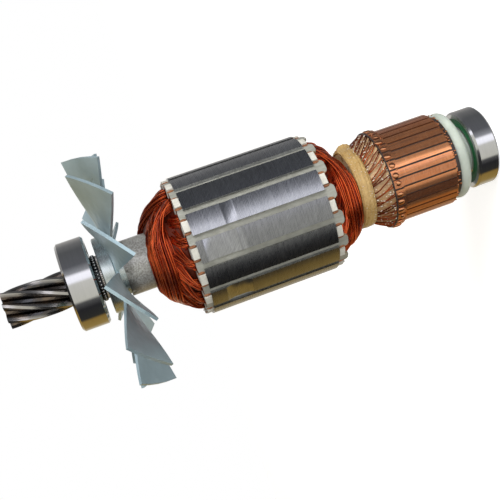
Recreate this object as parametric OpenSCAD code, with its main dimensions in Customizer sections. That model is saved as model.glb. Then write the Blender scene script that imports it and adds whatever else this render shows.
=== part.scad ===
// Motor armature: a wound rotor with a helical pinion cut in its shaft.
// It stands on its rear bearing, +Z runs along the shaft towards the pinion,
// and the origin is the centre of the rear bearing's end face.

/* [Shaft] */
// Diameter under both bearings
journal_d = 15; // [12:0.5:15]
// Diameter under the commutator and its washer
commutator_seat_d = 17; // [16:0.1:17.6]
// Diameter under the fan hub
fan_seat_d = 17.2; // [16.4:0.1:17.6]
// How far the rear end stays inside the bearing's face
end_recess = 0.3; // [0.2:0.1:1]

/* [Pinion] */
// Number of helical teeth
pinion_teeth = 7; // [6:1:9]
// Tip diameter
pinion_od = 14.7; // [12:0.1:14.8]
// Length of the teeth in front of the bearing
pinion_len = 24.6; // [16:0.2:32]
// Axial length of one full turn of a tooth
pinion_lead = 108; // [90:1:200]

/* [Front bearing] */
// Outer diameter
front_od = 35; // [34:0.5:40]
// Width
front_w = 11; // [10:0.5:13]
// Number of balls
front_balls = 8; // [6:1:8]

/* [Rear bearing] */
// Outer diameter
rear_od = 32; // [31:0.5:34]
// Width
rear_w = 9; // [8.6:0.2:11]
// Number of balls
rear_balls = 9; // [7:1:9]

/* [Core] */
// Diameter of the lamination stack
core_d = 55.2; // [54:0.2:58]
// Length of the lamination stack
core_len = 51.4; // [40:0.2:70]
// Number of slots and teeth
slots = 16; // [14:1:17]
// Ring of steel between the sleeve and the slots
core_web = 5.2; // [4:0.1:6]
// Width of a tooth below its tip
tooth_w = 4.2; // [3.8:0.1:4.8]
// Width of the slot's mouth
mouth_w = 2.4; // [1.6:0.1:3]
// Depth of the milled balance cuts
balance_depth = 0.7; // [0.3:0.05:0.9]

/* [Insulation] */
// Outer diameter of the sleeve on the shaft
sleeve_od = 21.6; // [21:0.1:22.6]
// Wall of the sleeve, which leaves the shaft's diameter under it
sleeve_wall = 1.8; // [1:0.1:2.2]
// Length of sleeve that shows between the fan hub and the winding
sleeve_bare_len = 9.4; // [6:0.1:16]
// Thickness of the fibre plate at each end of the core
plate_t = 2.4; // [1.6:0.1:3]
// Thickness of the slot paper
liner_t = 0.3; // [0.2:0.05:0.5]
// Thickness of a slot wedge
wedge_t = 0.9; // [0.6:0.1:1.2]
// How far the wedges stand out of the stack towards the commutator
wedge_rear_out = 4.2; // [3.4:0.1:5]
// How far the wedges stand out of the stack towards the fan
wedge_front_out = 2.3; // [2:0.1:3.6]

/* [Winding] */
// Length of the winding head at the fan end
front_head_len = 14.9; // [12:0.1:19]
// Length of the winding head at the commutator end
rear_head_len = 13.5; // [11:0.1:17]
// How far both winding heads stay inside the core's surface
head_drop = 3.7; // [3.1:0.1:5]
// How far each bundle of wire stands out of the winding head
bundle_h = 0.9; // [0.4:0.1:1.8]
// Outer diameter of the lacing ring
lacing_d = 32.8; // [31.4:0.2:36]
// Width of the lacing ring
lacing_w = 5.3; // [4:0.1:8]
// Length of the cone of leads between the lacing ring and the risers
lead_len = 6.9; // [5:0.1:9]
// Diameter of a lead wire
lead_d = 0.75; // [0.6:0.05:0.9]

/* [Commutator] */
// Diameter of the brush track
track_d = 37.8; // [36:0.2:40]
// Length of the brush track
track_len = 22.5; // [16:0.5:30]
// Diameter over the risers
riser_d = 39.6; // [39:0.2:42]
// Length of the risers
riser_len = 3.9; // [2.5:0.1:6]
// Number of bars
bars = 32; // [24:2:36]
// Width of the slot between two bars at the track
bar_gap = 0.7; // [0.4:0.05:0.9]

/* [Dust washer] */
// Diameter of the nylon washer
washer_d = 35.7; // [33:0.1:37]
// Thickness of the nylon washer
washer_t = 4.7; // [3:0.1:6]
// Length of its boss, which spaces it from the bearing
washer_boss_len = 4; // [2:0.5:6]

/* [Fan] */
// Diameter over the blades
fan_d = 92; // [80:1:100]
// Number of blades
blades = 12; // [8:1:14]
// Sheet thickness
fan_t = 1.2; // [0.8:0.1:1.6]
// Width of a blade along its tip
blade_tip_w = 21.6; // [16:0.2:24]
// Turn of the blade tip out of the plane of the disc
blade_turn = 37; // [25:1:50]
// How far the blade tips lean back towards the winding
blade_rake = 0.7; // [0:0.1:2]
// Diameter of the turned hub ring
hub_d = 30.1; // [28:0.1:31]
// Width of the turned hub ring
hub_w = 5; // [4:0.1:7]
// Length of the spacer between the hub and the bearing
spacer_len = 2; // [1.5:0.1:4]

/* [Hidden] */
$fn = 96;

// Stations along the shaft, from the rear bearing's face up
end_ring_len = 2.6;
washer_z = rear_w + washer_boss_len;
commutator_z = washer_z + washer_t;
track_z = commutator_z + end_ring_len;
riser_z = track_z + track_len;
lead_z = riser_z + riser_len;
lacing_z = lead_z + lead_len;
rear_head_z = lacing_z + lacing_w;
rear_plate_z = rear_head_z + rear_head_len;
core_z = rear_plate_z + plate_t;
front_plate_z = core_z + core_len;
front_head_z = front_plate_z + plate_t;
hub_z = front_head_z + front_head_len + sleeve_bare_len;
spigot_len = 2.1;
disc_z = hub_z + spigot_len;
ring_z = disc_z + fan_t;
knurl_z = ring_z + hub_w;
knurl_len = 0.7;
spacer_z = knurl_z + knurl_len;
front_bearing_z = spacer_z + spacer_len;
pinion_z = front_bearing_z + front_w;
shaft_end_z = pinion_z + pinion_len;

// Angles at which one tooth, one blade, one slot between bars and one pinion tooth stand
tooth_phase = 15.2;
blade_phase = 15;
bar_phase = 4.8;
pinion_phase = -74.1;

// Running and seating clearances
ball_play = 0.04;
pocket_play = 0.15;
lip_play = 0.1;
seat_gap = 0.05;

// Diameter of the shaft under the sleeve, and of the winding heads at the core
core_seat_d = sleeve_od - 2 * sleeve_wall;
head_d = core_d - 2 * head_drop;

// Section of the lamination
lip_t = 1.3;
slot_foot_r = sleeve_od / 2 + core_web;
wedge_seat_r = core_d / 2 - lip_t;
coil_top_r = wedge_seat_r - wedge_t;
tooth_pitch = 360 / slots;
plate_tooth_r = core_d / 2 - 0.5;

// Section of the commutator
bar_foot_r = 13.5;
step_r = track_d / 2 - 1.4;
step_len = 1.1;
step_foot_r = step_r - 1.6;
bush_r = commutator_seat_d / 2 + 1.3;
mica_undercut = 0.5;
neck_r = lacing_d / 2 - 1.7;
cone_top_r = riser_d / 2 - lead_d - 0.3;

// Fan blade, from the edge of the disc to the tip
spigot_wall = 1.15;
spigot_r = fan_seat_d / 2 + spigot_wall;
disc_r = hub_d / 2 + 1.2;
blade_root_w = 7;
blade_root_r = disc_r - 1.5;

// A ring turned from (radius, z) points
module turned(points) {
    rotate_extrude() polygon(points);
}

// A plain tube on the shaft's axis
module tube(z, length, outer_r, inner_r) {
    turned([[inner_r, z], [outer_r, z], [outer_r, z + length], [inner_r, z + length]]);
}

// A tube whose outer edges are chamfered
module chamfered_tube(z, length, outer_r, inner_r, chamfer) {
    turned([
        [inner_r, z], [outer_r - chamfer, z], [outer_r, z + chamfer],
        [outer_r, z + length - chamfer], [outer_r - chamfer, z + length], [inner_r, z + length],
    ]);
}

// Each four-cornered face cut into two triangles
function triangles(quads) = [for (q = quads) each [[q[0], q[1], q[2]], [q[0], q[2], q[3]]]];

// Faces between neighbouring points of a net of rows and columns that both wrap round
function wrapped_net(rows, columns) = triangles([
    for (i = [0:rows - 1], j = [0:columns - 1])
        let (a = (i + 1) % rows, b = (j + 1) % columns)
        [i * columns + j, i * columns + b, a * columns + b, a * columns + j]
]);

// ---- Shaft ----

// Involute of a base circle after the string has unrolled by t degrees
function involute(base_r, t) =
    let (s = t * PI / 180)
    [base_r * (cos(t) + s * sin(t)), base_r * (sin(t) - s * cos(t))];

function turn(p, a) = [p[0] * cos(a) - p[1] * sin(a), p[0] * sin(a) + p[1] * cos(a)];

// Roll angle at which the involute reaches radius r
function roll_at(base_r, r) = sqrt(pow(r / base_r, 2) - 1) * 180 / PI;

pinion_module = pinion_od / (pinion_teeth + 2.3);
pinion_pitch_r = pinion_module * pinion_teeth / 2;
pinion_base_r = pinion_pitch_r * cos(20);
pinion_root_r = pinion_od / 2 - 1.9 * pinion_module;
pinion_run_in = 1.5;
flank_steps = 3;

// Transverse section of the helical pinion, one flank after the other
function tooth_flank(side) =
    let (
        first = roll_at(pinion_base_r, pinion_base_r * 1.001),
        last = roll_at(pinion_base_r, pinion_od / 2),
        at_pitch = involute(pinion_base_r, roll_at(pinion_base_r, pinion_pitch_r)),
        half = 90 / pinion_teeth + 3,
        lean = atan2(at_pitch[1], at_pitch[0]) + half
    )
    [for (k = [0:flank_steps])
        let (p = turn(involute(pinion_base_r, first + (last - first) * k / flank_steps), -lean))
        [p[0], side * p[1]]];

function reversed(list) = [for (k = [len(list) - 1:-1:0]) list[k]];

module pinion_section() {
    lower = tooth_flank(1);
    upper = reversed(tooth_flank(-1));
    foot = pinion_root_r;
    foot_a = 360 / pinion_teeth * 0.36;
    tooth = concat(
        [foot * [cos(foot_a), -sin(foot_a)]], lower, upper, [foot * [cos(foot_a), sin(foot_a)]]
    );
    polygon([for (i = [0:pinion_teeth - 1], p = tooth) turn(p, i * 360 / pinion_teeth)]);
}

module helical_pinion() {
    length = pinion_len + pinion_run_in;
    twist = 360 * length / pinion_lead;
    translate([0, 0, pinion_z - pinion_run_in])
        rotate([0, 0, pinion_phase - twist])
            linear_extrude(height = length, twist = -twist, slices = 16)
                pinion_section();
}

// Fine straight knurl that grips the fan hub and shows just above it
knurl_ticks = 70;
knurl_depth = 0.2;
knurl_land = 0.5;

module knurl() {
    top_r = fan_seat_d / 2 - seat_gap;
    foot_r = top_r - knurl_depth;
    foot = (1 + knurl_land) / 2;
    rim = [for (i = [0:knurl_ticks - 1], p = [[top_r, 0], [top_r, knurl_land], [foot_r, foot]])
        turn([p[0], 0], (i + p[1]) * 360 / knurl_ticks)];
    translate([0, 0, knurl_z - seat_gap])
        linear_extrude(height = knurl_len)
            polygon(rim);
}

// Centre hole left by turning between centres, opening upwards at height z
centre_mouth_r = 2.1;
centre_pilot_r = 0.9;
centre_depth = 3.8;

module centre_hole(z) {
    cone_h = (centre_mouth_r - centre_pilot_r) * 1.5;
    turned([
        [0, z - centre_depth], [centre_pilot_r, z - centre_depth], [centre_pilot_r, z - cone_h],
        [centre_mouth_r, z], [centre_mouth_r, z + 1], [0, z + 1],
    ]);
}

// The stepped shaft as it comes off the lathe, from the commutator end up
shaft_chamfer = 0.8;

module turned_shaft() {
    journal_r = journal_d / 2;
    commutator_r = commutator_seat_d / 2;
    core_r = core_seat_d / 2;
    fan_r = fan_seat_d / 2;
    knurl_foot_r = fan_r - seat_gap - knurl_depth - seat_gap;
    journal_end = pinion_z - pinion_run_in / 2;
    turned([
        [0, end_recess], [journal_r - shaft_chamfer, end_recess],
        [journal_r, end_recess + shaft_chamfer], [journal_r, rear_w], [commutator_r, rear_w],
        [commutator_r, rear_head_z], [core_r, rear_head_z], [core_r, hub_z], [fan_r, hub_z],
        [fan_r, knurl_z], [knurl_foot_r, knurl_z], [knurl_foot_r, spacer_z], [journal_r, spacer_z],
        [journal_r, journal_end], [0, journal_end],
    ]);
}

module rotor_shaft() {
    color("#3b3c3e")
        difference() {
            union() {
                turned_shaft();
                knurl();
                helical_pinion();
            }
            centre_hole(shaft_end_z);
            translate([0, 0, end_recess]) mirror([0, 0, 1]) centre_hole(0);
        }
}

// ---- Core and insulation ----

module shaft_sleeve() {
    color("#b9b5ad")
        tube(rear_head_z, hub_z - rear_head_z, sleeve_od / 2, core_seat_d / 2);
}

// Half the slot's width at distance x from the axis, between parallel teeth
function slot_half(x) = x * tan(tooth_pitch / 2) - tooth_w / 2 / cos(tooth_pitch / 2);

// Outline of one slot from x0 to x1, drawn in by inset, with the slot along +X
function slot_outline(x0, x1, inset) = [
    [x0, -slot_half(x0) + inset], [x1, -slot_half(x1) + inset],
    [x1, slot_half(x1) - inset], [x0, slot_half(x0) - inset],
];

// Puts one copy of the children at each slot
module at_slots() {
    for (i = [0:slots - 1])
        rotate([0, 0, tooth_phase + (i + 0.5) * tooth_pitch]) children();
}

// Cuts that balance the rotor: [tooth, start and end below the stack's front face]. A disc
// cutter of this radius runs along each, so both ends rise in an arc, and a cut shorter than
// two such arcs is only as deep as one plunge of the disc.
cutter_r = 9;
balance_marks = [[-4, 12.8, 17.8], [-5, 2.4, 15.8], [-5, 15.2, 18.2], [-6, 2.4, 16.6], [-7, 6, 16.4]];

module balance_cuts() {
    for (cut = balance_marks)
        let (
            half = (cut[2] - cut[1]) / 2,
            depth = min(balance_depth, cutter_r - sqrt(pow(cutter_r, 2) - pow(half, 2))),
            reach = sqrt(pow(cutter_r, 2) - pow(cutter_r - depth, 2))
        )
        rotate([0, 0, tooth_phase + (cut[0] - 0.5) * tooth_pitch])
            rotate_extrude(angle = tooth_pitch)
                intersection() {
                    hull()
                        for (z = [cut[1] + reach, cut[2] - reach])
                            translate([core_d / 2 - depth + cutter_r, front_plate_z - z])
                                circle(r = cutter_r, $fn = 180);
                    translate([core_d / 2 - depth - 1, front_plate_z - cut[2] - 1])
                        square([4, cut[2] - cut[1] + 2]);
                }
}

module core_laminations() {
    color("#9fa1a6")
        difference() {
            translate([0, 0, core_z])
                linear_extrude(height = core_len)
                    difference() {
                        circle(r = core_d / 2);
                        circle(r = sleeve_od / 2);
                        at_slots() polygon(slot_outline(slot_foot_r, wedge_seat_r, 0));
                        at_slots()
                            translate([wedge_seat_r - 0.5, -mouth_w / 2])
                                square([lip_t + 2, mouth_w]);
                    }
            balance_cuts();
        }
}

// Fibre plate with one bare tooth over each steel tooth
module end_plate(z) {
    color("#dcdcd2")
        translate([0, 0, z])
            linear_extrude(height = plate_t)
                difference() {
                    circle(r = plate_tooth_r);
                    circle(r = sleeve_od / 2);
                    at_slots() polygon(slot_outline(slot_foot_r, plate_tooth_r + 1, 0));
                }
}

module front_end_plate() {
    end_plate(front_plate_z);
}

module rear_end_plate() {
    end_plate(rear_plate_z);
}

// U-shaped paper along the walls of each slot
module slot_liners() {
    color("#8a4f2c")
        translate([0, 0, rear_plate_z])
            linear_extrude(height = front_head_z - rear_plate_z)
                at_slots()
                    difference() {
                        polygon(slot_outline(slot_foot_r, coil_top_r, 0));
                        polygon(slot_outline(slot_foot_r + liner_t, coil_top_r + 1, liner_t));
                    }
}

// Strip that closes the slot, with rounded corners at both ends
module slot_wedges() {
    width = 2 * slot_half(coil_top_r);
    corner = 1.8;
    bottom = core_z - wedge_rear_out;
    length = core_len + wedge_rear_out + wedge_front_out;
    color("#a9ada2")
        at_slots()
            translate([coil_top_r, 0, bottom])
                rotate([90, 0, 90])
                    linear_extrude(height = wedge_t)
                        union() {
                            translate([-width / 2, corner]) square([width, length - 2 * corner]);
                            translate([corner - width / 2, 0]) square([width - 2 * corner, length]);
                            for (x = [-1, 1], y = [corner, length - corner])
                                translate([x * (width / 2 - corner), y]) circle(r = corner, $fn = 24);
                        }
}

module coil_sides() {
    color("#b5431f")
        translate([0, 0, rear_plate_z])
            linear_extrude(height = front_head_z - rear_plate_z)
                at_slots()
                    polygon(slot_outline(slot_foot_r + liner_t, coil_top_r, liner_t));
}

// ---- Winding heads and leads ----

// A winding head is a net of points. The loop runs from the core outwards and back along
// the sleeve; the outer part of it carries one twisted bundle for each slot.
head_steps = 9;
head_cells = 6;

// Section of the head: [radius, height over the core, share of the bundle's relief]
function head_loop(length, crown_r, power) =
    let (
        foot = sleeve_od / 2 + seat_gap,
        top = [for (k = [0:head_steps])
            let (a = 90 * k / head_steps)
            [
                crown_r + (head_d / 2 - bundle_h - crown_r) * pow(cos(a), power),
                (length - bundle_h) * pow(sin(a), power),
                k == 0 ? 0.4 : 1,
            ]]
    )
    concat(top, [[foot, length - bundle_h - 1.4, 0], [foot, 0, 0]]);

// Height of a bundle's round back at share f of its width
function round_back(f) = bundle_h * sqrt(1 - pow(1.9 * f - 0.95, 2));

module winding_head(length, crown_r, power, sweep) {
    loop = head_loop(length, crown_r, power);
    rows = slots * head_cells;
    columns = len(loop);
    points = [
        for (i = [0:rows - 1], j = [0:columns - 1])
            let (
                rise = loop[j][2] * round_back((i % head_cells) / head_cells),
                along = min(j, head_steps) / head_steps,
                a = i * 360 / rows + sweep * along * along,
                r = loop[j][0] + rise * cos(90 * along),
                z = loop[j][1] + rise * sin(90 * along)
            )
            [r * cos(a), r * sin(a), z]
    ];
    polyhedron(points, wrapped_net(rows, columns), convexity = 6);
}

module front_end_winding() {
    color("#b8401c")
        translate([0, 0, front_head_z])
            rotate([0, 0, tooth_phase])
                winding_head(front_head_len, sleeve_od / 2 + 0.3, 1.25, 64);
}

module rear_end_winding() {
    color("#b8401c")
        translate([0, 0, rear_plate_z])
            rotate([180, 0, 0])
                rotate([0, 0, -tooth_phase])
                    winding_head(rear_head_len, neck_r - bundle_h, 1.25, -46);
}

// Resin-soaked cord bound round the leads
module lacing_ring() {
    edge = 1.2;
    outer = lacing_d / 2;
    color("#d8c29a")
        turned([
            [neck_r, lacing_z], [outer - edge, lacing_z], [outer - edge * 0.3, lacing_z + edge * 0.3],
            [outer, lacing_z + edge], [outer, lacing_z + lacing_w - edge],
            [outer - edge * 0.3, lacing_z + lacing_w - edge * 0.3],
            [outer - edge, lacing_z + lacing_w], [neck_r, lacing_z + lacing_w],
        ]);
}

// Cast resin that fills the cone under the leads
module lead_resin() {
    shaft_r = commutator_seat_d / 2;
    color("#c9a877")
        turned([
            [shaft_r, lead_z], [cone_top_r, lead_z], [neck_r, lacing_z],
            [neck_r, rear_head_z], [shaft_r, rear_head_z],
        ]);
}

// Frame of one lead at share t of its way: where it lies on the cone, and two cross directions
lead_sweep = -16;
lead_rings = 5;
lead_sides = 6;

function lead_centre(t) =
    let (
        slope = atan2(cone_top_r - neck_r, lead_len),
        out = (lead_d / 2 + seat_gap) / cos(slope),
        r = cone_top_r + (neck_r - cone_top_r) * t + out,
        a = lead_sweep * t
    )
    [r * cos(a), r * sin(a), lead_z + lead_len * t];

function lead_ring(t) =
    let (
        here = lead_centre(t),
        step = lead_centre(t + 0.01) - here,
        ahead = step / norm(step),
        across = cross(ahead, [here[0], here[1], 0]),
        side = across / norm(across),
        out = cross(side, ahead)
    )
    [for (k = [0:lead_sides - 1])
        let (a = k * 360 / lead_sides, p = here + lead_d / 2 * (cos(a) * side + sin(a) * out))
        [p[0], p[1], t == 0 || t == 1 ? here[2] : p[2]]];

module one_lead() {
    points = [for (i = [0:lead_rings - 1]) each lead_ring(i / (lead_rings - 1))];
    last = (lead_rings - 1) * lead_sides;
    walls = [
        for (i = [0:lead_rings - 2], k = [0:lead_sides - 1])
            let (n = (k + 1) % lead_sides, a = i * lead_sides, b = a + lead_sides)
            [a + k, a + n, b + n, b + k]
    ];
    ends = [[for (k = [lead_sides - 1:-1:0]) k], [for (k = [0:lead_sides - 1]) last + k]];
    polyhedron(points, concat(triangles(walls), ends), convexity = 4);
}

// Two leads run to each riser, side by side
module lead_wires() {
    pair_share = 0.17;
    color("#b8401c")
        for (i = [0:bars - 1], side = [-1, 1])
            rotate([0, 0, bar_phase + (i + 0.5 + side * pair_share) * 360 / bars]) one_lead();
}

// ---- Commutator ----

bar_pitch = 360 / bars;
gap_angle = bar_gap / (track_d / 2) * 180 / PI;

// Section of a bar, or of the mica beside it, with its outer edges drawn in by undercut
function bar_section(undercut) = [
    [bar_foot_r, track_z + 1], [step_foot_r, track_z - step_len],
    [step_r - undercut, track_z - step_len], [step_r - undercut, track_z],
    [track_d / 2 - undercut, track_z], [track_d / 2 - undercut, riser_z],
    [riser_d / 2 - undercut, riser_z], [riser_d / 2 - undercut, lead_z], [bar_foot_r, lead_z],
];

module sectors(start, sweep, undercut) {
    for (i = [0:bars - 1])
        rotate([0, 0, bar_phase + i * bar_pitch + start])
            rotate_extrude(angle = sweep)
                polygon(bar_section(undercut));
}

module commutator_bars() {
    color("#b9683d") sectors(gap_angle / 2, bar_pitch - gap_angle, 0);
}

module commutator_mica() {
    color("#3a2a24") sectors(-gap_angle / 2, gap_angle, mica_undercut);
}

// Moulded body that holds the bars by their slanted feet
module commutator_moulding() {
    flange_r = step_r - 0.4;
    color("#2b2523")
        turned([
            [bush_r, commutator_z], [flange_r, commutator_z], [flange_r, track_z - step_len],
            [step_foot_r, track_z - step_len], [bar_foot_r, track_z + 1],
            [bar_foot_r, lead_z], [bush_r, lead_z],
        ]);
}

module commutator_bush() {
    color("#8c8d90")
        tube(commutator_z, lead_z - commutator_z, bush_r, commutator_seat_d / 2);
}

// Nylon washer that keeps brush dust out of the rear bearing
module dust_washer() {
    boss_r = journal_d / 2 + 2.1;
    bore_r = commutator_seat_d / 2;
    rim = washer_t / 2;
    color("#d9dbd0")
        union() {
            tube(rear_w, washer_boss_len, boss_r, bore_r);
            tube(washer_z, washer_t, washer_d / 2 - rim, bore_r);
            rotate_extrude()
                intersection() {
                    translate([washer_d / 2 - rim, washer_z + rim]) circle(r = rim, $fn = 48);
                    translate([washer_d / 2 - rim - 0.5, washer_z]) square([rim + 1, washer_t]);
                }
        }
}

// ---- Fan ----

module fan_hub() {
    seat_r = fan_seat_d / 2;
    color("#c3c6c9")
        union() {
            chamfered_tube(ring_z, hub_w, hub_d / 2, seat_r, 0.35);
            tube(hub_z, ring_z - hub_z, spigot_r, seat_r);
        }
}

// A blade is a net across its width and along its length, with two skins a sheet apart.
blade_rings = 7;
blade_cells = 4;

// Point at share t of the blade's length and share s of its half width, on one skin.
// Distances across the blade are wrapped round the shaft, so the tips lie on one cylinder.
function blade_point(t, s, skin) =
    let (
        r = blade_root_r + (fan_d / 2 - blade_root_r) * t,
        half = (blade_root_w + (blade_tip_w - blade_root_w) * t) / 2,
        turned_by = blade_turn * (1 - pow(1 - t, 2)),
        round_by = s * half * cos(turned_by) - skin * fan_t / 2 * sin(turned_by),
        a = round_by / r * 180 / PI,
        z = s * half * sin(turned_by) + skin * fan_t / 2 * cos(turned_by) - blade_rake * t
    )
    [r * cos(a), r * sin(a), z];

module blade() {
    columns = 2 * (blade_cells + 1);
    points = [
        for (i = [0:blade_rings])
            each [
                for (k = [0:columns - 1])
                    let (
                        top = k <= blade_cells,
                        s = 2 * (top ? k : columns - 1 - k) / blade_cells - 1
                    )
                    blade_point(i / blade_rings, s, top ? 1 : -1)
            ]
    ];
    walls = [
        for (i = [0:blade_rings - 1], k = [0:columns - 1])
            let (n = (k + 1) % columns, a = i * columns, b = a + columns)
            [a + k, a + n, b + n, b + k]
    ];
    last = blade_rings * columns;
    caps = [
        for (k = [0:blade_cells - 1])
            each [
                [k + 1, k, columns - 1 - k, columns - 2 - k],
                [last + k, last + k + 1, last + columns - 2 - k, last + columns - 1 - k],
            ]
    ];
    polyhedron(points, triangles(concat(walls, caps)), convexity = 4);
}

module cooling_fan() {
    color("#a3b1b4")
        union() {
            tube(disc_z, fan_t, disc_r, spigot_r);
            for (i = [0:blades - 1])
                rotate([0, 0, blade_phase + i * 360 / blades])
                    translate([0, 0, disc_z + fan_t / 2])
                        blade();
        }
}

module bearing_spacer() {
    color("#2e3033")
        chamfered_tube(spacer_z, spacer_len, fan_seat_d / 2 + 0.15, journal_d / 2, 0.2);
}

// ---- Bearings ----

// A bearing is [z, outer diameter, width, balls, ball diameter]
front_bearing = [front_bearing_z, front_od, front_w, front_balls, (front_od - journal_d) * 0.297];
rear_bearing = [0, rear_od, rear_w, rear_balls, (rear_od - journal_d) * 0.28];

function pitch_r(b) = (b[1] + journal_d) / 4;
function inner_land_r(b) = pitch_r(b) - 0.32 * b[4];
function outer_land_r(b) = pitch_r(b) + 0.32 * b[4];

seal_t = 0.7;
seal_recess = 0.2;
seal_seat = 0.4;
race_chamfer = 0.8;

// Groove in which the balls run
module ball_track(b) {
    translate([pitch_r(b), b[0] + b[2] / 2]) circle(r = b[4] / 2 + ball_play);
}

module outer_race(b) {
    z = b[0];
    w = b[2];
    r = b[1] / 2;
    land = outer_land_r(b);
    mouth = land + seal_seat;
    deep = seal_t + seal_recess;
    color("#b4b7ba")
        rotate_extrude()
            difference() {
                polygon([
                    [mouth, z], [r - race_chamfer, z], [r, z + race_chamfer],
                    [r, z + w - race_chamfer], [r - race_chamfer, z + w], [mouth, z + w],
                    [mouth, z + w - deep], [land, z + w - deep], [land, z + deep], [mouth, z + deep],
                ]);
                ball_track(b);
            }
}

module inner_race(b) {
    z = b[0];
    w = b[2];
    land = inner_land_r(b);
    edge = 0.4;
    color("#b4b7ba")
        rotate_extrude()
            difference() {
                polygon([
                    [journal_d / 2, z], [land - edge, z], [land, z + edge],
                    [land, z + w - edge], [land - edge, z + w], [journal_d / 2, z + w],
                ]);
                ball_track(b);
            }
}

module at_balls(b) {
    for (i = [0:b[3] - 1])
        rotate([0, 0, i * 360 / b[3]])
            translate([pitch_r(b), 0, b[0] + b[2] / 2]) children();
}

module balls(b) {
    color("#c6c9cc") at_balls(b) sphere(d = b[4], $fn = 48);
}

// One-piece ribbon cage with a round pocket for each ball
module cage(b) {
    half_w = min(b[4] * 0.62, b[2] / 2 - seal_t - seal_recess - 0.3);
    half_t = 0.2 * b[4];
    color("#8f8467")
        difference() {
            tube(b[0] + b[2] / 2 - half_w, 2 * half_w, pitch_r(b) + half_t, pitch_r(b) - half_t);
            at_balls(b) sphere(d = b[4] + 2 * pocket_play, $fn = 48);
        }
}

// Rubber seal pressed into the outer race; its lip runs just clear of the inner one
module seal(b, z) {
    lip = inner_land_r(b) + lip_play;
    rim = outer_land_r(b) + seal_seat;
    dish = 0.2;
    color("#1f5a2c")
        turned([
            [lip, z], [lip + 0.8, z], [lip + 1, z + dish], [rim - 0.8, z + dish], [rim - 0.6, z],
            [rim, z], [rim, z + seal_t], [lip, z + seal_t],
        ]);
}

module lower_seal(b) {
    seal(b, b[0] + seal_recess);
}

module upper_seal(b) {
    middle = b[0] + b[2] / 2;
    translate([0, 0, 2 * middle]) mirror([0, 0, 1]) seal(b, b[0] + seal_recess);
}

rotor_shaft();
shaft_sleeve();
core_laminations();
front_end_plate();
rear_end_plate();
slot_liners();
slot_wedges();
coil_sides();
front_end_winding();
rear_end_winding();
lacing_ring();
lead_resin();
lead_wires();
commutator_bars();
commutator_mica();
commutator_moulding();
commutator_bush();
dust_washer();
fan_hub();
cooling_fan();
bearing_spacer();
outer_race(front_bearing);  // front_outer_race
inner_race(front_bearing);  // front_inner_race
balls(front_bearing);  // front_balls
cage(front_bearing);  // front_cage
upper_seal(front_bearing);  // front_outboard_seal
lower_seal(front_bearing);  // front_inboard_seal
outer_race(rear_bearing);  // rear_outer_race
inner_race(rear_bearing);  // rear_inner_race
balls(rear_bearing);  // rear_balls
cage(rear_bearing);  // rear_cage
lower_seal(rear_bearing);  // rear_outboard_seal
upper_seal(rear_bearing);  // rear_inboard_seal
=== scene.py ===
import math

import bpy
import numpy as np
from mathutils import Matrix, Vector


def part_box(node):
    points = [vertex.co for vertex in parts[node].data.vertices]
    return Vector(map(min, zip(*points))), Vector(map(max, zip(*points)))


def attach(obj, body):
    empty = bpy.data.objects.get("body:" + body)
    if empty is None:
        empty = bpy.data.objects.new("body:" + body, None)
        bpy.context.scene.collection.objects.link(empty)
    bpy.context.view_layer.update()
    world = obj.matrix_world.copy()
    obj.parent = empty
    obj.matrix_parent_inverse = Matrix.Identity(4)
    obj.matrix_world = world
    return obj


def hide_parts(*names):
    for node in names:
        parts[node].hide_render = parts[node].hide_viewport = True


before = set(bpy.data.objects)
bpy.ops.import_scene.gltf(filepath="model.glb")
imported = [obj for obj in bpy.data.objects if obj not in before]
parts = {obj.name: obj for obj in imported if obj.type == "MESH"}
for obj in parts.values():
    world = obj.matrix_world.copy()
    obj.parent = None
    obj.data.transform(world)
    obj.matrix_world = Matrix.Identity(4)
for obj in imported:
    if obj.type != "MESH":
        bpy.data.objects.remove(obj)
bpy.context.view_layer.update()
print("frame loaded:", len(parts), "parts")


# meshes from grids of points

def meshPiece(name, points, faces, body, smooth=True):
    # points is an array of rows x, y, z in metres; faces lists corner numbers
    mesh = bpy.data.meshes.new(name)
    mesh.from_pydata(np.asarray(points, dtype=float).tolist(), [], faces)
    mesh.polygons.foreach_set("use_smooth", np.full(len(mesh.polygons), smooth))
    mesh.update()
    piece = bpy.data.objects.new(name, mesh)
    bpy.context.scene.collection.objects.link(piece)
    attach(piece, body)
    return piece


def gridFaces(rows, columns, wrapRows=False, wrapColumns=True):
    # quads between neighbouring points of a rows by columns net
    i = np.arange(rows if wrapRows else rows - 1)[:, None]
    j = np.arange(columns if wrapColumns else columns - 1)[None, :]
    a, b = (i + 1) % rows, (j + 1) % columns
    return np.stack([i * columns + j, i * columns + b, a * columns + b, a * columns + j], -1).reshape(-1, 4)


def revolve(name, profile, body, around=128, smooth=True):
    # a closed ring: each (radius, height) in mm is carried round the shaft's axis
    profile = np.asarray(profile, dtype=float) / 1000
    angle = np.linspace(0, 2 * math.pi, around, endpoint=False)
    r, z = profile[:, 0][:, None], profile[:, 1][:, None]
    points = np.stack([r * np.cos(angle), r * np.sin(angle), z + 0 * angle], -1).reshape(-1, 3)
    faces = gridFaces(len(profile), around, wrapRows=True)
    return meshPiece(name, points, faces.tolist(), body, smooth)


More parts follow.
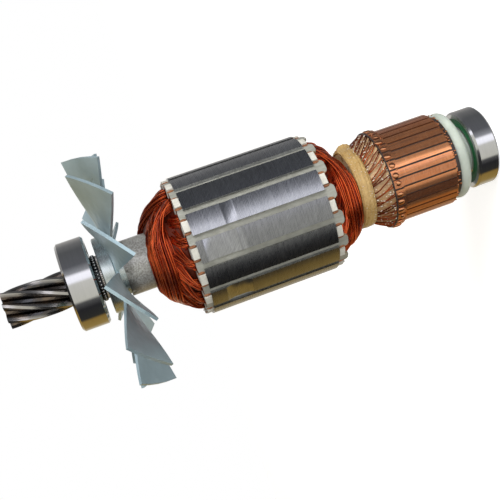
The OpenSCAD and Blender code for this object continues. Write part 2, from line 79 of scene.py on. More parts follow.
def tubes(name, paths, radius, body, sides=6, flat=1.0):
    # round wires: paths is wires x points x 3 in mm. Two cross directions stand square to each
    # step of the path, and the ring of corners is centre + radius * (cos * side + flat * sin * out).
    paths = np.asarray(paths, dtype=float) / 1000
    wires, steps = paths.shape[:2]
    ahead = np.gradient(paths, axis=1)
    ahead /= np.linalg.norm(ahead, axis=2, keepdims=True)
    away = paths * np.array([1.0, 1.0, 0.0])
    side = np.cross(ahead, away)
    side /= np.linalg.norm(side, axis=2, keepdims=True)
    out = np.cross(side, ahead)
    turn = np.linspace(0, 2 * math.pi, sides, endpoint=False)
    ring = np.cos(turn)[:, None] * side[:, :, None] + flat * np.sin(turn)[:, None] * out[:, :, None]
    radius = np.broadcast_to(np.asarray(radius, dtype=float) / 1000, (wires, steps))
    points = (paths[:, :, None] + radius[:, :, None, None] * ring).reshape(-1, 3)
    one = gridFaces(steps, sides)[:, ::-1]
    faces = (one[None] + (np.arange(wires) * steps * sides)[:, None, None]).reshape(-1, 4)
    first = np.arange(sides)
    last = first[::-1] + (steps - 1) * sides
    starts = (np.arange(wires) * steps * sides)[:, None]
    caps = (first[None] + starts).tolist() + (last[None] + starts).tolist()
    return meshPiece(name, points, faces.tolist() + caps, body)


# shader building

def place(tree, kind, inputs=None, **settings):
    # one node; inputs are given by socket name or number, as a value or another node's output
    made = tree.nodes.new("ShaderNode" + kind)
    for key, value in settings.items():
        setattr(made, key, value)
    for key, value in (inputs or {}).items():
        if isinstance(value, bpy.types.NodeSocket):
            tree.links.new(value, made.inputs[key])
        else:
            made.inputs[key].default_value = value
    return made


def newFinish(name, **constants):
    # a principled material; constants name sockets with _ for a space
    made = bpy.data.materials.new(name)
    made.use_nodes = True
    shader = made.node_tree.nodes["Principled BSDF"]
    for key, value in constants.items():
        socket = shader.inputs[key.replace("_", " ")]
        socket.default_value = (*value, 1.0) if socket.type == "RGBA" else value
    return made, made.node_tree, shader


def sums(tree, operation, first, second=None, third=None):
    values = {n: v for n, v in enumerate((first, second, third)) if v is not None}
    return place(tree, "Math", values, operation=operation).outputs[0]


def shaftCoords(tree):
    # turn round the shaft in radians, distance from it and height along it, in metres
    split = place(tree, "SeparateXYZ", {0: place(tree, "TexCoord").outputs["Object"]})
    x, y, z = split.outputs
    turn = sums(tree, "ARCTAN2", y, x)
    away = sums(tree, "SQRT", sums(tree, "ADD", sums(tree, "MULTIPLY", x, x), sums(tree, "MULTIPLY", y, y)))
    return turn, away, z


def stretched(tree, first, second, third, scales):
    # a vector of three values, each times its own scale
    values = {n: sums(tree, "MULTIPLY", v, s) for n, (v, s) in enumerate(zip((first, second, third), scales))}
    return place(tree, "CombineXYZ", values).outputs[0]


def noise(tree, vector, scale, detail=3.0, roughness=0.55):
    inputs = {"Vector": vector, "Scale": scale, "Detail": detail, "Roughness": roughness}
    return place(tree, "TexNoise", inputs).outputs[0]


def spread(tree, value, low, high, toLow=0.0, toHigh=1.0):
    inputs = {0: value, 1: low, 2: high, 3: toLow, 4: toHigh}
    return place(tree, "MapRange", inputs).outputs[0]


def blend(tree, share, first, second, mode="MIX"):
    first, second = [(*c, 1.0) if isinstance(c, tuple) and len(c) == 3 else c for c in (first, second)]
    return place(tree, "Mix", {0: share, 6: first, 7: second}, data_type="RGBA", blend_type=mode).outputs[2]


def bump(tree, shader, height, distance, strength=1.0):
    made = place(tree, "Bump", {"Height": height, "Distance": distance, "Strength": strength})
    tree.links.new(made.outputs[0], shader.inputs["Normal"])


def join(tree, value, shader, socket):
    tree.links.new(value, shader.inputs[socket])


def dress(finish, *names):
    # a finish on CAD parts whose shape is right
    for name in names:
        piece = parts[name]
        piece.data.materials.clear()
        piece.data.materials.append(finish)


# finishes

def turnedMetal(name, colour, roughness, groove, tone=0.12):
    # fine lathe marks that run round the shaft
    finish, tree, shader = newFinish(name, Metallic=1.0)
    turn, away, height = shaftCoords(tree)
    marks = noise(tree, stretched(tree, turn, away, height, (1.5, 2600.0, 2600.0)), 1.0, 4.0, 0.7)
    cloud = noise(tree, place(tree, "TexCoord").outputs["Object"], 120.0, 3.0)
    dark = tuple(c * (1 - 2.2 * tone) for c in colour)
    shade = sums(tree, "ADD", sums(tree, "MULTIPLY", marks, 0.6), sums(tree, "MULTIPLY", cloud, 0.4))
    join(tree, blend(tree, spread(tree, shade, 0.35, 0.65), dark, colour), shader, "Base Color")
    join(tree, spread(tree, marks, 0.3, 0.7, roughness * 0.8, roughness * 1.3), shader, "Roughness")
    bump(tree, shader, marks, groove)
    return finish


def zincSheetFinish():
    # zinc plated sheet: milky, bluish, with faint clouds and fine specks
    finish, tree, shader = newFinish("zincSheet", Metallic=0.55, Roughness=0.42)
    where = place(tree, "TexCoord").outputs["Object"]
    cloud = noise(tree, where, 55.0, 4.0)
    speck = noise(tree, where, 900.0, 2.0)
    colour = blend(tree, spread(tree, cloud, 0.35, 0.68), (0.31, 0.42, 0.465), (0.46, 0.59, 0.65))
    join(tree, colour, shader, "Base Color")
    join(tree, spread(tree, cloud, 0.3, 0.7, 0.26, 0.42), shader, "Roughness")
    bump(tree, shader, speck, 0.00001)
    return finish


def hardenedFinish():
    # blued, oil-dark steel with straw and brown heat tints, and a painted highlight on the tooth tips
    finish, tree, shader = newFinish("hardenedSteel", Metallic=1.0)
    turn, away, height = shaftCoords(tree)
    where = place(tree, "TexCoord").outputs["Object"]
    tint = noise(tree, where, 160.0, 4.0, 0.6)
    fine = noise(tree, stretched(tree, turn, away, height, (60.0, 1500.0, 260.0)), 1.0, 4.0, 0.7)
    # painted highlight: the outer part of the teeth is drawn paler
    paintedTipHighlight = spread(tree, away, 0.0062, 0.0073)
    base = blend(tree, spread(tree, tint, 0.38, 0.66), (0.075, 0.075, 0.08), (0.20, 0.155, 0.12))
    base = blend(tree, sums(tree, "MULTIPLY", paintedTipHighlight, 0.8), base, (0.55, 0.53, 0.51))
    join(tree, base, shader, "Base Color")
    join(tree, spread(tree, fine, 0.3, 0.7, 0.12, 0.3), shader, "Roughness")
    bump(tree, shader, fine, 0.000008)
    return finish


# painted shade on each tooth: how bright each tooth is drawn, from this angle round the shaft on
paintedToothShade = [(-180, 0.75), (-153, 0.72), (-131, 0.55), (-108.5, 0.55), (-86, 1.0),
              (-63.5, 0.68), (-41, 0.92), (-18.5, 0.8), (4, 0.7), (49, 0.85), (94, 0.65), (139, 0.8)]


def laminationFinish():
    # stacked sheets: an edge line every half millimetre, lathe marks round the core, and
    # slanting filing scratches over them, with painted shade on each tooth
    finish, tree, shader = newFinish("laminationSteel", Metallic=1.0)
    turn, away, height = shaftCoords(tree)
    marks = noise(tree, stretched(tree, turn, away, height, (4.0, 300.0, 3200.0)), 1.0, 4.0, 0.75)
    slant = sums(tree, "ADD", sums(tree, "MULTIPLY", height, 2600.0), sums(tree, "MULTIPLY", turn, 52.0))
    along = sums(tree, "ADD", sums(tree, "MULTIPLY", height, -110.0), sums(tree, "MULTIPLY", turn, 5.0))
    scratch = noise(tree, place(tree, "CombineXYZ", {0: slant, 1: along, 2: 0.0}).outputs[0], 1.0, 3.0, 0.8)
    sheets = sums(tree, "PINGPONG", sums(tree, "MULTIPLY", height, 1.0), 0.00025)
    edge = spread(tree, sheets, 0.0, 0.00006)
    cloud = noise(tree, place(tree, "TexCoord").outputs["Object"], 90.0, 3.0)
    mixed = sums(tree, "ADD", sums(tree, "MULTIPLY", marks, 0.5), sums(tree, "MULTIPLY", scratch, 0.5))
    colour = blend(tree, spread(tree, mixed, 0.36, 0.66), (0.32, 0.33, 0.36), (0.68, 0.69, 0.73))
    colour = blend(tree, spread(tree, cloud, 0.3, 0.75, 0.0, 0.35), colour, (0.30, 0.30, 0.31))
    colour = blend(tree, spread(tree, edge, 0.0, 1.0, 0.25, 0.0), colour, (0.16, 0.16, 0.17))
    # painted shade: each tooth is darkened by its angle round the shaft, less so in the milled pockets
    teeth = place(tree, "ValToRGB", {0: spread(tree, turn, -math.pi, math.pi)})
    teeth.color_ramp.interpolation = "CONSTANT"
    stops = teeth.color_ramp.elements
    while len(stops) < len(paintedToothShade):
        stops.new(0.5)
    for stop, (angle, tone) in zip(stops, paintedToothShade):
        stop.position, stop.color = angle / 360 + 0.5, (tone, tone, tone, 1.0)
    milled = spread(tree, away, 0.02757, 0.02745)
    tone = blend(tree, sums(tree, "MULTIPLY", milled, 0.45), teeth.outputs[0], (1.0, 1.0, 1.0))
    colour = blend(tree, 1.0, colour, tone, "MULTIPLY")
    join(tree, colour, shader, "Base Color")
    rough = spread(tree, mixed, 0.3, 0.7, 0.2, 0.36)
    join(tree, sums(tree, "SUBTRACT", rough, sums(tree, "MULTIPLY", milled, 0.13)), shader, "Roughness")
    relief = sums(tree, "ADD", sums(tree, "MULTIPLY", mixed, 1.0), sums(tree, "MULTIPLY", edge, 0.3))
    bump(tree, shader, relief, 0.00002)
    return finish


def fibreFinish(name, pale, dark, scale=1400.0, rough=0.75, coat=0.0):
    # pressed fibre or paper: short flecks over soft clouds
    finish, tree, shader = newFinish(name, Roughness=rough, Coat_Weight=coat, Coat_Roughness=0.12)
    where = place(tree, "TexCoord").outputs["Object"]
    fleck = noise(tree, where, scale, 4.0, 0.7)
    cloud = noise(tree, where, 160.0, 3.0)
    shade = sums(tree, "ADD", sums(tree, "MULTIPLY", fleck, 0.55), sums(tree, "MULTIPLY", cloud, 0.45))
    join(tree, blend(tree, spread(tree, shade, 0.34, 0.66), dark, pale), shader, "Base Color")
    bump(tree, shader, fleck, 0.00003)
    return finish


def sleeveBody():
    # speckled moulded sleeve with a satin skin, with a painted dark reflection of the fan beside it
    finish, tree, shader = newFinish("sleeveBody", Roughness=0.3, Metallic=0.3, Coat_Weight=0.3, Coat_Roughness=0.1)
    turn, away, height = shaftCoords(tree)
    where = place(tree, "TexCoord").outputs["Object"]
    speck, cloud = noise(tree, where, 1500.0, 2.0), noise(tree, where, 170.0, 4.0, 0.65)
    colour = blend(tree, spread(tree, speck, 0.4, 0.62), (0.30, 0.29, 0.27), (0.52, 0.52, 0.50))
    colour = blend(tree, spread(tree, cloud, 0.45, 0.75, 0.0, 0.5), colour, (0.22, 0.20, 0.17))
    # painted reflection: a dark patch next to the fan stands in for the fan's reflection
    paintedFanReflection = sums(tree, "MULTIPLY", spread(tree, height, 0.1485, 0.1525), spread(tree, cloud, 0.38, 0.56))
    colour = blend(tree, sums(tree, "MULTIPLY", paintedFanReflection, 0.85), colour, (0.03, 0.028, 0.025))
    join(tree, colour, shader, "Base Color")
    bump(tree, shader, speck, 0.00002)
    return finish


def wedgeFinish():
    # pale strips, with a gold-brown line of varnish where they meet the teeth
    finish, tree, shader = newFinish("wedgeFibre", Roughness=0.45)
    turn, away, height = shaftCoords(tree)
    where = place(tree, "TexCoord").outputs["Object"]
    fleck = noise(tree, stretched(tree, turn, away, height, (30.0, 900.0, 260.0)), 1.0, 4.0, 0.7)
    half = math.radians(11.25)
    middle = sums(tree, "SUBTRACT", turn, math.radians(15.2))
    offset = sums(tree, "PINGPONG", middle, half)
    line = spread(tree, offset, math.radians(6.3), math.radians(5.2))
    ragged = spread(tree, noise(tree, where, 700.0, 3.0), 0.35, 0.6)
    colour = blend(tree, spread(tree, fleck, 0.34, 0.66), (0.24, 0.24, 0.205), (0.34, 0.34, 0.30))
    colour = blend(tree, sums(tree, "MULTIPLY", line, ragged), colour, (0.30, 0.19, 0.07))
    join(tree, colour, shader, "Base Color")
    bump(tree, shader, fleck, 0.00002)
    return finish


def wireFinish(name, bright, dark, tone="wireTone"):
    # enamelled copper under varnish; each wire has its own depth of colour
    finish, tree, shader = newFinish(name, Metallic=0.94, Coat_Weight=0.3, Coat_Roughness=0.05)
    own = place(tree, "Attribute", attribute_name=tone).outputs["Fac"]
    where = place(tree, "TexCoord").outputs["Object"]
    cloud = noise(tree, where, 420.0, 3.0, 0.6)
    shade = sums(tree, "ADD", sums(tree, "MULTIPLY", own, 0.6), sums(tree, "MULTIPLY", cloud, 0.4))
    join(tree, blend(tree, spread(tree, shade, 0.25, 0.75), dark, bright), shader, "Base Color")
    join(tree, spread(tree, cloud, 0.3, 0.7, 0.12, 0.26), shader, "Roughness")
    bump(tree, shader, noise(tree, where, 2500.0, 2.0), 0.00001)
    return finish


def barFinish(barPhase, barPitch):
    # turned copper: every bar takes its own tarnish, from pinkish bright to dark brown
    finish, tree, shader = newFinish("commutatorCopper", Metallic=0.86)
    turn, away, height = shaftCoords(tree)
    number = sums(tree, "FLOOR", sums(tree, "DIVIDE", sums(tree, "SUBTRACT", turn, barPhase), barPitch))
    own = place(tree, "TexWhiteNoise", {"W": number}, noise_dimensions="1D").outputs[0]
    marks = noise(tree, stretched(tree, turn, away, height, (6.0, 400.0, 3600.0)), 1.0, 4.0, 0.7)
    patch = noise(tree, stretched(tree, turn, away, height, (26.0, 60.0, 70.0)), 1.0, 4.0, 0.6)
    colour = blend(tree, spread(tree, own, 0.0, 1.0), (0.44, 0.12, 0.04), (0.84, 0.33, 0.12))
    colour = blend(tree, spread(tree, patch, 0.42, 0.72, 0.0, 0.75), colour, (0.30, 0.12, 0.07))
    colour = blend(tree, spread(tree, marks, 0.3, 0.7, 0.0, 0.3), colour, (0.93, 0.55, 0.36))
    join(tree, colour, shader, "Base Color")
    join(tree, spread(tree, marks, 0.3, 0.7, 0.09, 0.17), shader, "Roughness")
    bump(tree, shader, marks, 0.000002)
    return finish


def nylonFinish():
    finish, tree, shader = newFinish("naturalNylon", Roughness=0.38, Subsurface_Weight=0.5,
                                     Subsurface_Scale=0.002, Specular_IOR_Level=0.5)
    shader.inputs["Subsurface Radius"].default_value = (1.0, 1.0, 0.8)
    cloud = noise(tree, place(tree, "TexCoord").outputs["Object"], 130.0, 3.0)
    colour = blend(tree, spread(tree, cloud, 0.3, 0.7), (0.44, 0.49, 0.43), (0.57, 0.62, 0.55))
    join(tree, colour, shader, "Base Color")
    bump(tree, shader, noise(tree, place(tree, "TexCoord").outputs["Object"], 1500.0, 2.0), 0.00001)
    return finish


def resinFinish(name, pale, dark, rough=0.3):
    # varnish-soaked cord and cast resin, glossy in patches
    finish, tree, shader = newFinish(name, Coat_Weight=0.3, Coat_Roughness=0.2)
    turn, away, height = shaftCoords(tree)
    where = place(tree, "TexCoord").outputs["Object"]
    strand = noise(tree, stretched(tree, turn, away, height, (30.0, 1800.0, 1800.0)), 1.0, 3.0, 0.7)
    cloud = noise(tree, where, 260.0, 4.0)
    shade = sums(tree, "ADD", sums(tree, "MULTIPLY", strand, 0.5), sums(tree, "MULTIPLY", cloud, 0.5))
    join(tree, blend(tree, spread(tree, shade, 0.36, 0.66), dark, pale), shader, "Base Color")
    join(tree, spread(tree, cloud, 0.35, 0.7, rough, rough + 0.35), shader, "Roughness")
    bump(tree, shader, strand, 0.00008)
    return finish


def plainFinish(name, colour, rough, metal=0.0, grain=1200.0, depth=0.00002):
    finish, tree, shader = newFinish(name, Metallic=metal)
    where = place(tree, "TexCoord").outputs["Object"]
    grainy = noise(tree, where, grain, 3.0)
    dark = tuple(c * 0.7 for c in colour)
    join(tree, blend(tree, spread(tree, grainy, 0.3, 0.7), dark, colour), shader, "Base Color")
    join(tree, spread(tree, grainy, 0.3, 0.7, rough * 0.85, rough * 1.15), shader, "Roughness")
    bump(tree, shader, grainy, depth)
    return finish


barPitch = math.radians(11.25)
barPhase = math.radians(4.8)
bearingSteel = turnedMetal("bearingSteel", (0.60, 0.60, 0.61), 0.10, 0.000001, 0.04)
ballSteel = turnedMetal("ballSteel", (0.78, 0.78, 0.79), 0.08, 0.000001)
zincTurned = turnedMetal("zincTurned", (0.60, 0.65, 0.65), 0.26, 0.0000008, 0.03)
bushSteel = turnedMetal("bushSteel", (0.45, 0.45, 0.46), 0.3, 0.00001)
blackSteel = turnedMetal("blackenedSteel", (0.055, 0.055, 0.06), 0.3, 0.00001)
zincSheet = zincSheetFinish()
hardenedSteel = hardenedFinish()
laminationSteel = laminationFinish()
whiteFibre = fibreFinish("whiteFibre", (0.66, 0.65, 0.59), (0.50, 0.48, 0.42))
slotPaper = fibreFinish("slotPaper", (0.36, 0.15, 0.06), (0.16, 0.06, 0.03), 1800.0, 0.5)
wedgeFibre = wedgeFinish()
sleeveFinish = sleeveBody()
copperWire = wireFinish("enamelledWire", (0.88, 0.15, 0.035), (0.30, 0.03, 0.01))
leadWire = wireFinish("leadWire", (0.70, 0.17, 0.045), (0.28, 0.05, 0.02))
# painted shade: copper in the slots and under the outer wires is coloured dark for the shade it lies in
innerCopperShade = plainFinish("innerCopperShade", (0.13, 0.022, 0.01), 0.5, 0.4)
barCopper = barFinish(barPhase, barPitch)
micaStrip = plainFinish("micaStrip", (0.055, 0.035, 0.03), 0.6)
moulding = plainFinish("mouldedBody", (0.045, 0.03, 0.028), 0.42)
nylon = nylonFinish()
lacingCord = resinFinish("lacingCord", (0.56, 0.38, 0.15), (0.38, 0.23, 0.075), 0.2)
castResin = resinFinish("castResin", (0.66, 0.47, 0.26), (0.38, 0.20, 0.09), 0.2)
sealRubber = plainFinish("sealRubber", (0.012, 0.13, 0.045), 0.45)
cageMetal = plainFinish("cageMetal", (0.50, 0.42, 0.26), 0.35, 1.0)

dress(bearingSteel, "front_outer_race", "front_inner_race", "rear_outer_race", "rear_inner_race")
dress(ballSteel, "front_balls", "rear_balls")
dress(cageMetal, "front_cage", "rear_cage")
dress(sealRubber, "front_outboard_seal", "front_inboard_seal", "rear_outboard_seal", "rear_inboard_seal")
dress(zincTurned, "fan_hub")
dress(zincSheet, "cooling_fan")
dress(blackSteel, "bearing_spacer")
dress(hardenedSteel, "rotor_shaft")
dress(laminationSteel, "core_laminations")
dress(whiteFibre, "front_end_plate", "rear_end_plate")
dress(slotPaper, "slot_liners")
dress(wedgeFibre, "slot_wedges")
dress(sleeveFinish, "shaft_sleeve")
dress(innerCopperShade, "coil_sides", "front_end_winding", "rear_end_winding")
dress(leadWire, "lead_wires")
dress(castResin, "lead_resin")
dress(lacingCord, "lacing_ring")
dress(barCopper, "commutator_bars")
dress(micaStrip, "commutator_mica")
dress(moulding, "commutator_moulding")
dress(bushSteel, "commutator_bush")
dress(nylon, "dust_washer")
print("finishes made")


# winding heads, wire by wire

slotStart, slotPitch, coilSpan = 26.45, 22.5, 157.5
frontPlate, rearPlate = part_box("front_end_plate"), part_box("rear_end_plate")
heads = {
    "front": {"plate": frontPlate[1][2] * 1000, "up": 1, "neck": 10.9, "edge": 23.7, "height": 14.9, "seed": 3},
    "rear": {"plate": rearPlate[0][2] * 1000, "up": -1, "neck": 14.3, "edge": 23.7, "height": 13.4, "seed": 8},
}
wire = {
    "each": 30, "d": 0.6, "steps": 40, "sides": 5, "rise": 45.0, "shell": 1.05, "lean": 52,
    "slotOut": 20.5, "slotIn": 17.0, "slotDeep": 2.9, "slotWide": 1.7, "sway": 0.22,
}


def ripple(rng, shape, along, waves=4):
    # a slow random swing along each wire: a sum of a few sines of random size and phase
    total = 0.0
    for n in range(1, waves + 1):
        size = rng.normal(size=shape)[..., None] / n
        phase = rng.uniform(0, 2 * math.pi, shape)[..., None]
        total = total + size * np.sin(n * math.pi * along + phase)
    return total


def headOutline(head, lean):
    # outer section of a head: lean 90 degrees is at the neck, 0 at the plate
    c, s = np.cos(np.radians(lean)), np.sin(np.radians(lean))
    return head["neck"] + (head["edge"] - head["neck"]) * c ** 1.25, head["height"] * s ** 1.25


def windHead(name, head, finish):
    # Coils are wound two at a time in eight steps, each pair over the last and one slot
    # further back. Seen from the end a wire comes out of its slot, runs straight to a circle
    # of radius rc, bends round it and runs straight to the other slot, so with u the angle
    # from the coil's middle r = rc / cos(|u| - u0). It climbs as h = hc * sqrt(1 - (1 - x)^2).
    rng = np.random.default_rng(head["seed"])
    each, steps = wire["each"], wire["steps"]
    coil = np.arange(16)[:, None, None]
    step = coil % 8
    slot = 13 - step + 8 * (coil // 8)
    half = coilSpan / 2
    u = half * np.sin(np.linspace(-math.pi / 2, math.pi / 2, steps))[None, None, :]
    share = (np.arange(each)[None, :, None] + 0.5) / each
    order = np.argsort(rng.normal(size=(16, each)) * 0.12 + share[:, :, 0], axis=1)
    across = (np.argsort(order, axis=1)[:, :, None] + 0.5) / each
    lean = 90 - wire["lean"] * across
    rc, hc = headOutline(head, lean)
    buried = (7 - step) * wire["shell"] + 0.35 + 0.55 * (np.arange(each)[None, :, None] % 2)
    rc = head["neck"] + 0.3 + (rc - head["neck"] - 0.3) * (1 - buried / 14)
    hc = np.maximum(hc - buried, 1.2 + 2.2 * (1 - across))
    # places in the slot: the later side lies over the earlier one
    column = (np.arange(each) % 5)[None, :, None]
    row = (np.arange(each) // 5)[None, :, None] / 4.0
    aTop = np.where(step == 0, wire["slotIn"], wire["slotOut"])
    bTop = np.where(step == 7, wire["slotOut"], wire["slotIn"])
    rsA = aTop + wire["slotDeep"] * row + rng.normal(size=(16, each, 1)) * 0.15
    rsB = bTop + wire["slotDeep"] * row + rng.normal(size=(16, each, 1)) * 0.15
    offA = (column - 2) * wire["slotWide"] + rng.normal(size=(16, each, 1)) * 0.4
    offB = (rng.permutation(5)[np.arange(each) % 5][None, :, None] - 2) * wire["slotWide"]
    rs = np.where(u < 0, rsA, rsB)
    away = half - np.abs(u)
    x = np.clip(away / wire["rise"], 0, 1)
    u0 = half - np.degrees(np.arccos(np.minimum(rc / rs, 1)))
    r = rc / np.cos(np.radians(np.clip(np.abs(u) - u0, 0, None)))
    r = r + (rs - np.maximum(rc, rs)) * (1 - np.clip(x / 0.6, 0, 1)) ** 2
    h = hc * np.sqrt(1 - (1 - x) ** 2)
    loose = np.clip(away / 14, 0.0, 1)
    along = (u + half) / coilSpan
    r = r + wire["sway"] * loose * ripple(rng, (16, each), along[0])
    h = h + wire["sway"] * loose * ripple(rng, (16, each), along[0]) - 0.8 * (away < 0.01)
    fade = np.clip(1 - along / 0.45, 0, 1)
    fadeB = np.clip(1 - (1 - along) / 0.45, 0, 1)
    turn = np.radians(slotStart + slotPitch * slot + half + u + offA * fade + offB * fadeB
                      + 0.5 * loose * ripple(rng, (16, each), along[0]))
    paths = np.stack([r * np.cos(turn), r * np.sin(turn), head["plate"] + head["up"] * h], -1)
    paths = paths.reshape(-1, steps, 3)
    piece = tubes(name, paths, wire["d"] / 2, "rotor", wire["sides"])
    tone = np.repeat(rng.uniform(0, 1, len(paths)), steps * wire["sides"])
    piece.data.attributes.new("wireTone", "FLOAT", "POINT").data.foreach_set("value", tone)
    piece.data.materials.append(finish)
    return piece


def fillHead(name, head, finish):
    # what lies under the outer wires: the same section, drawn in, in dark copper as painted shade
    r, h = headOutline(head, np.linspace(4, 90, 14))
    r, h = r - 2.6 * np.cos(np.radians(np.linspace(4, 90, 14))) - 0.6, h - 2.2
    foot = head["neck"] - 0.1
    section = [(foot, 0.0), *zip(np.maximum(r, foot), np.maximum(h, 0.2)), (foot, head["height"] - 2.2)]
    section = [(a, head["plate"] + head["up"] * b) for a, b in section]
    if head["up"] > 0:
        section = section[::-1]
    piece = revolve(name, section, "rotor", 96)
    piece.data.materials.append(finish)


for side, head in heads.items():
    wound = windHead(side + "WindingWires", head, copperWire)
    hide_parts(side + "_end_winding")
    fillHead(side + "WindingInside", head, innerCopperShade)
print("windings made")


# small work round the windings

cuffs = {"tooth": 15.2, "pitch": 22.5, "aside": 5.75, "r": 26.35, "long": 1.5, "wide": 0.62}
leads = {
    "bars": 32, "first": 4.8, "foot": (47.0, 19.3), "top": (53.9, 15.2),
    "sweep": -16.0, "d": 0.52, "steps": 12, "sides": 6, "seed": 5,
}
lacing = {"z": 56.3, "inside": 14.5, "high": 1.9, "wide": 2.55, "knot": (-3.0, 54.7)}
joints = {"z": 44.9, "r": 19.75, "long": 1.35, "wide": 1.15}
litter = {"crumbs": 110, "endsPerBar": 4, "glints": 120, "drops": 220, "seed": 21}
knurl = {"count": 40, "z": (162.1, 163.7), "r": 8.85}


def onShaft(r, degrees, z):
    # cylindrical places to x, y, z
    t = np.radians(degrees)
    r, t, z = np.broadcast_arrays(r, t, z)
    return np.stack([r * np.cos(t), r * np.sin(t), z], -1)


def beads(name, r, degrees, z, long, wide, finish, flat=1.0, steps=5):
    # lumps along the shaft's way: each radius follows wide * sqrt(1 - s^2) while s runs -1..1
    s = np.linspace(-0.96, 0.96, steps)
    sizes = (r, degrees, z, long, wide)
    r, degrees, z, long, wide = [np.broadcast_to(v, len(degrees))[:, None] for v in sizes]
    paths = onShaft(r + 0 * s, degrees + 0 * s, z + long * s)
    piece = tubes(name, paths, wide * np.sqrt(1 - s ** 2), "rotor", 8, flat)
    piece.data.materials.append(finish)
    return piece


def paintWires(piece, wires, perWire, seed):
    tone = np.repeat(np.random.default_rng(seed).uniform(0, 1, wires), perWire)
    piece.data.attributes.new("wireTone", "FLOAT", "POINT").data.foreach_set("value", tone)


def slotCuffs():
    # folded edges of the slot paper, one each side of every plate tooth
    teeth = cuffs["tooth"] + cuffs["pitch"] * np.arange(16)
    both = np.concatenate([teeth - cuffs["aside"], teeth + cuffs["aside"]])
    for side, middle in (("front", 127.5), ("rear", 73.5)):
        beads(side + "PaperCuffs", cuffs["r"], both, middle, cuffs["long"], cuffs["wide"], slotPaper, 0.62)


def leadWires():
    # two wires run from the binding to each bar, slanting round the cone and a little wavy
    rng = np.random.default_rng(leads["seed"])
    along = np.linspace(0, 1, leads["steps"])[None, :]
    arch = np.sin(np.pi * along)
    bar = leads["first"] + 360 / leads["bars"] * (np.arange(leads["bars"]) + 0.5)
    ends = np.repeat(bar, 2)[:, None] + np.tile([-1.7, 1.7], leads["bars"])[:, None]
    wires = len(ends)
    sweep = leads["sweep"] * (1 + 0.22 * rng.normal(size=(wires, 1)))
    turn = ends + sweep * along ** 0.9 + 0.7 * arch * ripple(rng, (wires,), along, 3)
    (footZ, footR), (topZ, topR) = leads["foot"], leads["top"]
    z = footZ + (topZ - footZ) * along
    r = (footR + (topR - footR) * along + 0.18 * arch
         + 0.12 * np.abs(ripple(rng, (wires,), along, 2)) * arch)
    piece = tubes("commutatorLeads", onShaft(r, turn, z), leads["d"] / 2, "rotor", leads["sides"])
    paintWires(piece, wires, leads["steps"] * leads["sides"], 11)
    piece.data.materials.append(leadWire)
    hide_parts("lead_wires")


def lacingBand():
    # wound cord: a flattened ring section, |cos| ridges across it for the turns of cord,
    # slow waves round the shaft, and a swelling where it is tied
    a = np.linspace(0, 2 * math.pi, 56, endpoint=False)[:, None]
    t = np.linspace(-180, 180, 240, endpoint=False)[None, :]
    knotTurn, knotZ = lacing["knot"]
    knot = np.exp(-((t - knotTurn) / 6.0) ** 2)
    wave = 0.10 * np.sin(np.radians(5 * t) + 1.0) + 0.08 * np.sin(np.radians(11 * t))
    ridge = 0.24 * np.abs(np.cos(5 * a + np.radians(2 * t))) + 0.07 * np.sin(np.radians(60 * t) + 9 * a)
    c, s = np.cos(a), np.sin(a)
    high = (lacing["high"] + ridge + wave + 1.5 * knot) / 2
    z = lacing["z"] + (knotZ - lacing["z"]) * 0.6 * knot + (lacing["wide"] + ridge) * np.sign(s) * np.abs(s) ** 0.9
    r = lacing["inside"] + high + high * np.sign(c) * np.abs(c) ** 0.9
    points = onShaft(r, t + 0 * a, z).reshape(-1, 3) / 1000
    piece = meshPiece("lacingCordBand", points, gridFaces(56, 240, wrapRows=True)[:, ::-1].tolist(), "rotor")
    piece.data.materials.append(lacingCord)
    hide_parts("lacing_ring")


def fusedJoints():
    # where the leads are fused into the risers, with crumbs of copper, rough bar ends, the
    # dark edge of the risers, and beads of varnish on the binding and the cone
    rng = np.random.default_rng(litter["seed"])
    bars = leads["bars"]
    bar = leads["first"] + 360 / bars * (np.arange(bars) + 0.5)
    sway = rng.normal(size=bars)
    beads("fusedJoints", joints["r"] + 0.1 * sway, bar + 0.8 * rng.normal(size=bars),
          joints["z"] + 0.3 * sway, joints["long"] * (1 + 0.2 * sway),
          joints["wide"] * (1 + 0.12 * rng.normal(size=bars)), fusedCopper, 0.5, 7)
    count = litter["crumbs"]
    small = rng.uniform(-180, 180, count)
    beads("fusedCrumbs", rng.uniform(19.5, 19.95, count), small, rng.uniform(43.4, 46.6, count),
          rng.uniform(0.25, 0.7, count), rng.uniform(0.2, 0.5, count), fusedCopper, 0.7)
    each = litter["endsPerBar"]
    count = each * bars
    inBar = np.repeat(np.arange(bars), each) + rng.uniform(0.12, 0.88, count)
    ends = leads["first"] + 360 / bars * inBar
    beads("barEnds", rng.uniform(17.3, 18.4, count), ends, rng.uniform(18.3, 20.9, count),
          rng.uniform(0.3, 0.8, count), rng.uniform(0.25, 0.5, count), fusedCopper, 0.7)
    section = [(19.3, 46.5), (19.9, 46.5), (19.95, 46.7), (19.9, 46.95), (19.3, 46.95)]
    revolve("riserEdge", section, "rotor").data.materials.append(moulding)
    count = litter["glints"]
    shine = rng.uniform(-180, 180, count)
    beads("lacingGlints", lacing["inside"] + 2.0, shine, lacing["z"] + rng.uniform(-2.2, 2.2, count),
          rng.uniform(0.1, 0.3, count), rng.uniform(0.1, 0.22, count), varnish, 0.8)
    count = litter["drops"]
    share = rng.uniform(0, 1, count)
    beads("varnishBeads", 19.5 - 4.1 * share, rng.uniform(-180, 180, count), 46.9 + 6.6 * share,
          rng.uniform(0.2, 0.6, count), rng.uniform(0.12, 0.32, count), varnish, 0.8)


def knurlTeeth():
    ends = knurl["z"]
    turn = np.arange(knurl["count"]) * 360 / knurl["count"]
    beads("knurlTeeth", knurl["r"], turn, sum(ends) / 2, (ends[1] - ends[0]) / 2, 0.42, bearingSteel, 0.8, 7)


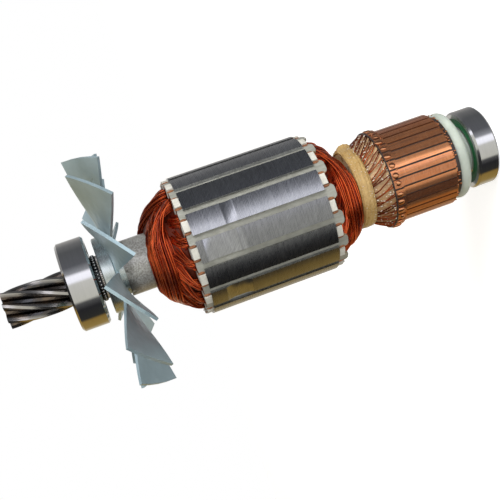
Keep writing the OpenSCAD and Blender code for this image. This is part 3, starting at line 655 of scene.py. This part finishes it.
fusedCopper = turnedMetal("fusedCopper", (0.84, 0.38, 0.19), 0.16, 0.00001)
varnish = plainFinish("varnish", (0.80, 0.70, 0.58), 0.12, 0.0, 900.0, 0.00002)
slotCuffs()
leadWires()
lacingBand()
fusedJoints()
knurlTeeth()
print("small work made")


# floor, light and camera

view = {
    "stand": Vector((0.0, -0.35266, 0.15728)),
    "ahead": Vector((-0.02600, 0.98856, -0.14860)),
    "up": Vector((0.94294, -0.02511, -0.33203)),
    "lens": 65.487,
}
scene = bpy.context.scene


def makeCamera():
    ahead = view["ahead"].normalized()
    right = ahead.cross(view["up"]).normalized()
    up = right.cross(ahead)
    data = bpy.data.cameras.new("camera")
    data.lens, data.sensor_width = view["lens"], 36.0
    data.clip_start, data.clip_end = 0.01, 50.0
    camera = bpy.data.objects.new("camera", data)
    turn = Matrix((right, up, -ahead)).transposed()
    camera.matrix_world = Matrix.Translation(view["stand"]) @ turn.to_4x4()
    scene.collection.objects.link(camera)
    scene.camera = camera


# what polished metal sees round the shaft: degrees up from straight ahead, and a colour
room = [
    (-180, (0.85, 0.85, 0.83)), (-156, (0.60, 0.52, 0.36)), (-138, (0.42, 0.29, 0.09)),
    (-106, (0.36, 0.23, 0.06)), (-97, (0.04, 0.04, 0.035)), (-62, (0.03, 0.03, 0.033)),
    (-44, (0.12, 0.12, 0.12)), (-37, (0.80, 0.79, 0.70)), (6, (0.86, 0.85, 0.79)),
    (12, (1.5, 1.5, 1.6)), (25, (1.6, 1.6, 1.7)), (31, (0.42, 0.43, 0.46)),
    (48, (0.15, 0.155, 0.17)), (95, (0.13, 0.135, 0.14)), (125, (0.22, 0.22, 0.22)),
    (158, (0.45, 0.44, 0.42)), (180, (0.85, 0.85, 0.83)),
]
light = {"key": 9.0, "fill": 3.0}


def makeWorld():
    world = bpy.data.worlds.new("studio")
    scene.world = world
    world.use_nodes = True
    tree = world.node_tree
    tree.nodes.clear()
    direction = place(tree, "TexCoord").outputs["Generated"]
    level = view["ahead"].normalized()
    upward = place(tree, "VectorMath", {0: direction, 1: view["up"]}, operation="DOT_PRODUCT").outputs["Value"]
    onward = place(tree, "VectorMath", {0: direction, 1: -level}, operation="DOT_PRODUCT").outputs["Value"]
    share = spread(tree, sums(tree, "ARCTAN2", upward, onward), -math.pi, math.pi)
    ramp = place(tree, "ValToRGB", {0: share})
    stops = ramp.color_ramp.elements
    while len(stops) < len(room):
        stops.new(0.5)
    for stop, (angle, colour) in zip(stops, room):
        stop.position = angle / 360 + 0.5
        stop.color = (*colour, 1.0)
    rays = place(tree, "LightPath").outputs
    seen = sums(tree, "MAXIMUM", rays["Is Camera Ray"], rays["Is Transmission Ray"])
    colour = blend(tree, seen, ramp.outputs[0], (1.0, 1.0, 1.0))
    back = place(tree, "Background", {0: colour, 1: 1.0})
    tree.links.new(back.outputs[0], place(tree, "OutputWorld").inputs[0])


def makeFloor():
    # white to the eye, yet it still takes the shadow; polished metal sees the room below it
    finish, tree, shader = newFinish("paleFloor", Base_Color=(0.80, 0.82, 0.84), Roughness=0.9)
    rays = place(tree, "LightPath").outputs
    seen = sums(tree, "MAXIMUM", rays["Is Camera Ray"], rays["Is Transmission Ray"])
    shader.inputs["Emission Color"].default_value = (1.0, 1.0, 1.0, 1.0)
    join(tree, sums(tree, "MULTIPLY", seen, 0.66), shader, "Emission Strength")
    half = 1.5
    corners = [(-half, -half, 0.0), (half, -half, 0.0), (half, half, 0.0), (-half, half, 0.0)]
    mesh = bpy.data.meshes.new("floor")
    mesh.from_pydata(corners, [], [(0, 1, 2, 3)])
    mesh.materials.append(finish)
    floor = bpy.data.objects.new("floor", mesh)
    floor.visible_glossy = False
    scene.collection.objects.link(floor)


def makeLamp(name, spot, size, power):
    data = bpy.data.lights.new(name, "AREA")
    data.shape, data.size, data.energy = "DISK", size, power
    lamp = bpy.data.objects.new(name, data)
    target = Vector((0.0, 0.0, 0.1))
    lamp.location = spot
    lamp.rotation_mode = "QUATERNION"
    lamp.rotation_quaternion = (target - lamp.location).to_track_quat("-Z", "Y")
    lamp.visible_glossy = False
    scene.collection.objects.link(lamp)


makeCamera()
makeWorld()
makeFloor()
makeLamp("keyLamp", Vector((0.75, -0.65, 0.45)), 0.7, light["key"])
makeLamp("fillLamp", Vector((-0.55, -0.9, 0.5)), 0.9, light["fill"])
scene.view_settings.view_transform = "Standard"
print("stage set")
